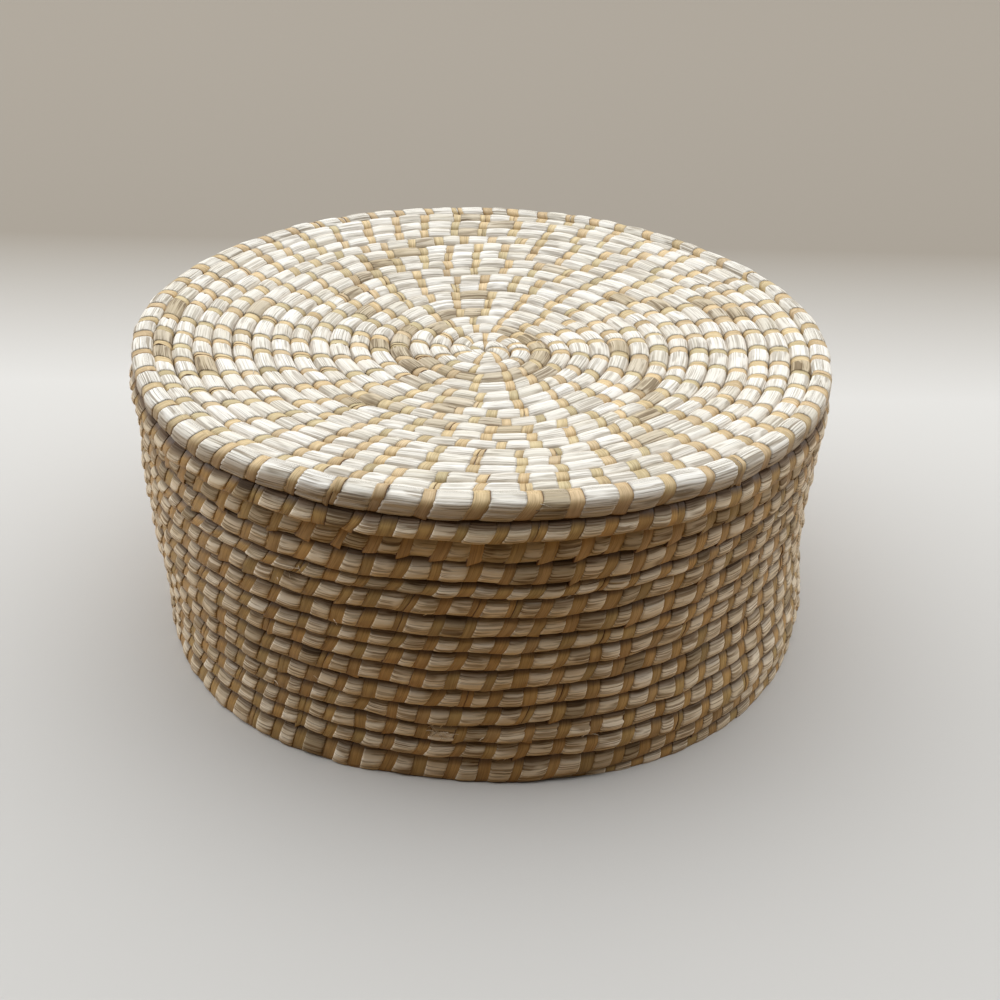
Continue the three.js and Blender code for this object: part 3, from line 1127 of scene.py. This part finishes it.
# Brown stretches of the lid's edge row
EDGE_BROWN = [(-77, 145.5, 8), (-2, 145.5, 8), (12, 145.5, 7)]


def mostly_pale(share_brown, brown_least=0.65):
    """Pale stretches with a share of brown ones among them: how brown and how bright each is."""

    def natural(coil, length, rng):
        count = len(length)
        brown = rng.random(count) < share_brown
        browns = rng.uniform(brown_least, 1, count)
        pales = np.clip(rng.normal(*PALE_BROWN, count), 0, PALE_BROWN_MOST)
        return np.where(brown, browns, pales), np.clip(rng.normal(*BRIGHTNESS, count), 0, 1)

    return natural


def spotted(spots, row_width):
    """Pale, but for brown stretches here and there."""

    def natural(coil, length, rng):
        share, bright = mostly_pale(STRAY_BROWN_SHARE)(coil, length, rng)
        azimuth = coil.read(coil.azimuth, length)
        radius = coil.read(coil.radius, length)
        for degrees, away, reach in spots:
            turned = half_turn(azimuth - math.radians(degrees))
            near = (np.abs(radius - away) < row_width / 2) & (np.abs(turned) * radius < reach)
            share = np.where(near, rng.uniform(SPOT_LEAST_BROWN, 1, len(length)), share)
        return share, bright

    return natural


def wind(
    name, body, coil, look, seed, sewing, natural, fibre=wall_fibre, strip=wall_strip,
    parts=1, guide=None,
):
    """A bundle and the strips round it."""
    rng = np.random.default_rng(seed)
    stitches = Stitches(rng, coil, sewing, guide)
    core_pieces(f"{name}_bundle", rng, coil, stitches, natural, look, fibre, body, [name], parts)
    strip_pieces(f"{name}_strips", rng, coil, stitches, look, strip, body, parts)
    return stitches


# Spacing of a disc's strips by distance from its eye
SPACING_RADII = [4, 30, 60, 140]
SPACINGS = [6.5, 11.5, 14.0, 14.5]


def even(length):
    return lambda radius: np.full_like(np.asarray(radius, float), length)


def disc_spacing(radius):
    return np.interp(radius, SPACING_RADII, SPACINGS)


WALL_SEWING = Sewing(even(12.5), spread=0.05, width=0.45, slant=0.43, shift=2.0, wander=0.6)
WALL_RIM_SEWING = replace(WALL_SEWING, slant=0.45)
BASE_SEWING = Sewing(disc_spacing, spread=0.07, width=0.4, slant=0.15, shift=1.2, wander=0.8)
LID_SEWING = Sewing(disc_spacing, spread=0.06, width=0.355, slant=0.15, shift=1.2, wander=0.6, slack=0.29)
LID_EDGE_SEWING = Sewing(even(15.5), spread=0.07, width=0.39, slant=-0.45, shift=2.0, wander=0.8)
LID_RIM_SEWING = Sewing(even(13.0), spread=0.05, width=0.45, slant=-0.42, shift=-2.0, wander=0.6)
LOCATING_SEWING = Sewing(even(12.0), spread=0.09, width=0.45, slant=-0.42, shift=2.0, wander=1.2)

# The lowest row starts as a wedge, grows to half a row at once, and to a whole one behind
BASE_EDGE_CLIMB = 208 / 360
WEDGE_SHARES = [0, 0.14, 0.8, 1]
WEDGE_RISES = [0, 0.5, 0.56, 1]
# The body's top row is drawn in a little, and the row turned down under the lid stands out
WALL_RIM_RADIUS = OUTER_RADIUS - 0.1
LID_RIM_RADIUS = OUTER_RADIUS + 1.9


def wedge_rise(share):
    return np.interp(share, WEDGE_SHARES, WEDGE_RISES)


base_edge = stack_coil(
    seed=2, rows=1, bottom=0, way=BODY_WAY, change=120, climb=BASE_EDGE_CLIMB, rise=wedge_rise,
)
base_edge_stitches = wind(
    "base_edge_coil", "basket", base_edge, BASE_EDGE_LOOK,
    seed=12, sewing=WALL_SEWING, natural=mostly_pale(0.04),
)
wall = stack_coil(seed=1, rows=WALL_ROWS, bottom=WALL_BOTTOM, way=BODY_WAY, change=90)
wall_stitches = wind(
    "wall_coil", "basket", wall, WALL_LOOK,
    seed=11, sewing=WALL_SEWING, natural=mostly_pale(0.05), parts=2,
    guide=base_edge_stitches.azimuths(base_edge, 0, 1),
)
wall_rim = stack_coil(
    seed=3, rows=1, bottom=WALL_RIM_BOTTOM, way=BODY_WAY, change=135, radius=WALL_RIM_RADIUS,
)
wall_rim_stitches = wind(
    "wall_rim_coil", "basket", wall_rim, RAGGED_LOOK,
    seed=13, sewing=WALL_RIM_SEWING, natural=mostly_pale(0.95, brown_least=0.35),
    guide=wall_stitches.azimuths(wall, WALL_ROWS - 1, WALL_ROWS),
)
base = disc_coil(seed=4, way=BODY_WAY, height_at=base_height, even_last=False)
wind(
    "base_coil", "basket", base, HIDDEN_LOOK,
    seed=14, sewing=BASE_SEWING, natural=mostly_pale(0.06),
)
lid = disc_coil(seed=5, way=LID_WAY, height_at=lid_height, even_last=True)
lid_stitches = wind(
    "lid_coil", "lid", lid, LID_LOOK,
    seed=15, sewing=LID_SEWING, natural=spotted(LID_BROWN, DISC_PITCH),
    fibre=lid_fibre, strip=lid_strip, parts=2,
)
lid_edge = stack_coil(
    seed=6, rows=1, bottom=LID_EDGE_BOTTOM, way=LID_WAY, change=30, squareness=EDGE_SQUARENESS,
    droop=EDGE_DROOP, ring=True,
)
wind(
    "lid_edge_coil", "lid", lid_edge, EDGE_LOOK,
    seed=16, sewing=LID_EDGE_SEWING, natural=spotted(EDGE_BROWN, ROW_PITCH),
    fibre=edge_fibre, strip=edge_strip, guide=lid_stitches.azimuths(lid, DISC_ROWS - 1.5, DISC_ROWS - 0.5),
)
lid_rim = stack_coil(seed=7, rows=1, bottom=LID_RIM_BOTTOM, way=LID_WAY, change=-45, radius=LID_RIM_RADIUS)
wind(
    "lid_rim_coil", "lid", lid_rim, LID_RIM_LOOK,
    seed=17, sewing=LID_RIM_SEWING, natural=mostly_pale(0.05),
    guide=wall_rim_stitches.azimuths(wall_rim, 0, 1),
)
locating = stack_coil(
    seed=8, rows=LOCATING_ROWS, bottom=LOCATING_BOTTOM, way=LID_WAY, change=180, radius=LOCATING_RADIUS,
    depth=LOCATING_DEPTH, real_rows=False,
)
wind(
    "lid_locating_coil", "lid", locating, HIDDEN_LOOK,
    seed=18, sewing=LOCATING_SEWING, natural=mostly_pale(0.9),
)

# The frayed ends that stand out most, by azimuth, turn, place across the row and count
WALL_FRAYS = [(-95.4, 1, 0.6, 16), (-95.8, 1, 0.3, 12), (-74, 1, -0.6, 8), (-86, 0, -0.6, 7)]
LID_FRAYS = [(-35, 9, 0.3, 6), (-140, 13, 0.3, 6)]
frayed_ends(
    "wall_coil_frays", 21, wall, WALL_FRAYS + scattered(31, WALL_ROWS, 70), wall_fibre,
    "basket",
)
frayed_ends(
    "lid_coil_frays", 22, lid, LID_FRAYS + scattered(32, DISC_ROWS, 60), lid_fibre, "lid",
)
frayed_ends("lid_edge_coil_frays", 23, lid_edge, scattered(33, 1, 14), edge_fibre, "lid")

# Camera, in degrees and millimetres
CAMERA_PITCH = 31.92
CAMERA_ROLL = 1.31
CAMERA_TARGET = np.array([8.6, 0, 40.4])
CAMERA_DISTANCE = 664.6
CAMERA_LENS = 50.4
CAMERA_SENSOR = 36
# A round floor, in metres, and where its colour darkens towards the back: painted shade that stands in for a
# dim backdrop
FLOOR_RADIUS = 2.4
FLOOR_CORNERS = 96
FLOOR_FADE = (0.19, 0.43)
FLOOR_FRONT = (0.592, 0.583, 0.56)
FLOOR_BACK = (0.28, 0.252, 0.213)
# Light that the floor and the air give back, and what is seen behind the floor
FLOOR_BOUNCE = (0.35, 0.214, 0.088)
AIR_LIGHT = (0.03, 0.026, 0.021)
BACKDROP = (0.41, 0.38, 0.325)
# Lamps at the sides, in metres and degrees: which side, and watts
SIDE_LIGHTS = {"left_light": (-1, 13), "right_light": (1, 3)}
SIDE_DISTANCE = 2.5
SIDE_TURN = math.radians(70)


def add_camera():
    pitched = Matrix.Rotation(math.radians(90 - CAMERA_PITCH), 4, "X")
    rolled = Matrix.Rotation(math.radians(CAMERA_ROLL), 4, "Z")
    back = Matrix.Translation((0, 0, CAMERA_DISTANCE * MM))
    camera = bpy.data.objects.new("camera", bpy.data.cameras.new("camera"))
    camera.data.lens = CAMERA_LENS
    camera.data.sensor_width = CAMERA_SENSOR
    camera.matrix_world = Matrix.Translation(CAMERA_TARGET * MM) @ pitched @ rolled @ back
    scene.collection.objects.link(camera)
    scene.camera = camera


def add_floor():
    floor = bpy.data.meshes.new("floor")
    around = np.linspace(0, FULL_TURN, FLOOR_CORNERS, endpoint=False)
    rim = [(FLOOR_RADIUS * math.cos(angle), FLOOR_RADIUS * math.sin(angle), 0) for angle in around]
    floor.from_pydata(rim, [], [range(FLOOR_CORNERS)])
    floor_piece = bpy.data.objects.new("floor", floor)
    scene.collection.objects.link(floor_piece)
    nodes = Nodes(bpy.data.materials.new("floor"))
    depth = nodes.parts(nodes.add("ShaderNodeTexCoord", {})["Object"])[1]
    # The floor's colour darkens towards the back: painted shade for a dim backdrop
    seen = nodes.mix(nodes.spread(depth, FLOOR_FADE, (0, 1)), FLOOR_FRONT, FLOOR_BACK)
    colour = nodes.mix(nodes.looked_at(), FLOOR_BOUNCE, seen)
    nodes.set(nodes.shader, {"Base Color": colour, "Roughness": 0.9, "Specular IOR Level": 0.1})
    floor.materials.append(nodes.owner)


def soft_box(name, size, power, colour, place, turned):
    lamp = bpy.data.lights.new(name, "AREA")
    lamp.shape = "RECTANGLE"
    lamp.size, lamp.size_y = size
    lamp.energy = power
    lamp.color = colour
    piece = bpy.data.objects.new(name, lamp)
    piece.location = place
    piece.rotation_euler = turned
    scene.collection.objects.link(piece)


def add_light():
    scene.world = bpy.data.worlds.new("studio")
    nodes = Nodes(scene.world, "Background")
    colour = nodes.mix(nodes.looked_at(), AIR_LIGHT, BACKDROP)
    nodes.set(nodes.shader, {"Color": colour, "Strength": 1.0})
    soft_box(
        "top_light", size=(12.0, 4.0), power=282, colour=(0.985, 0.99, 1.0), place=(-0.1, 1.25, 1.6),
        turned=(0, 0, 0),
    )
    for name, (side, power) in SIDE_LIGHTS.items():
        soft_box(
            name, size=(2.0, 1.4), power=power, colour=(0.95, 0.98, 1.0),
            place=(side * SIDE_DISTANCE, 0.5, 0.9), turned=(0, side * SIDE_TURN, 0),
        )


scene.view_settings.view_transform = "Standard"
add_camera()
add_floor()
add_light()
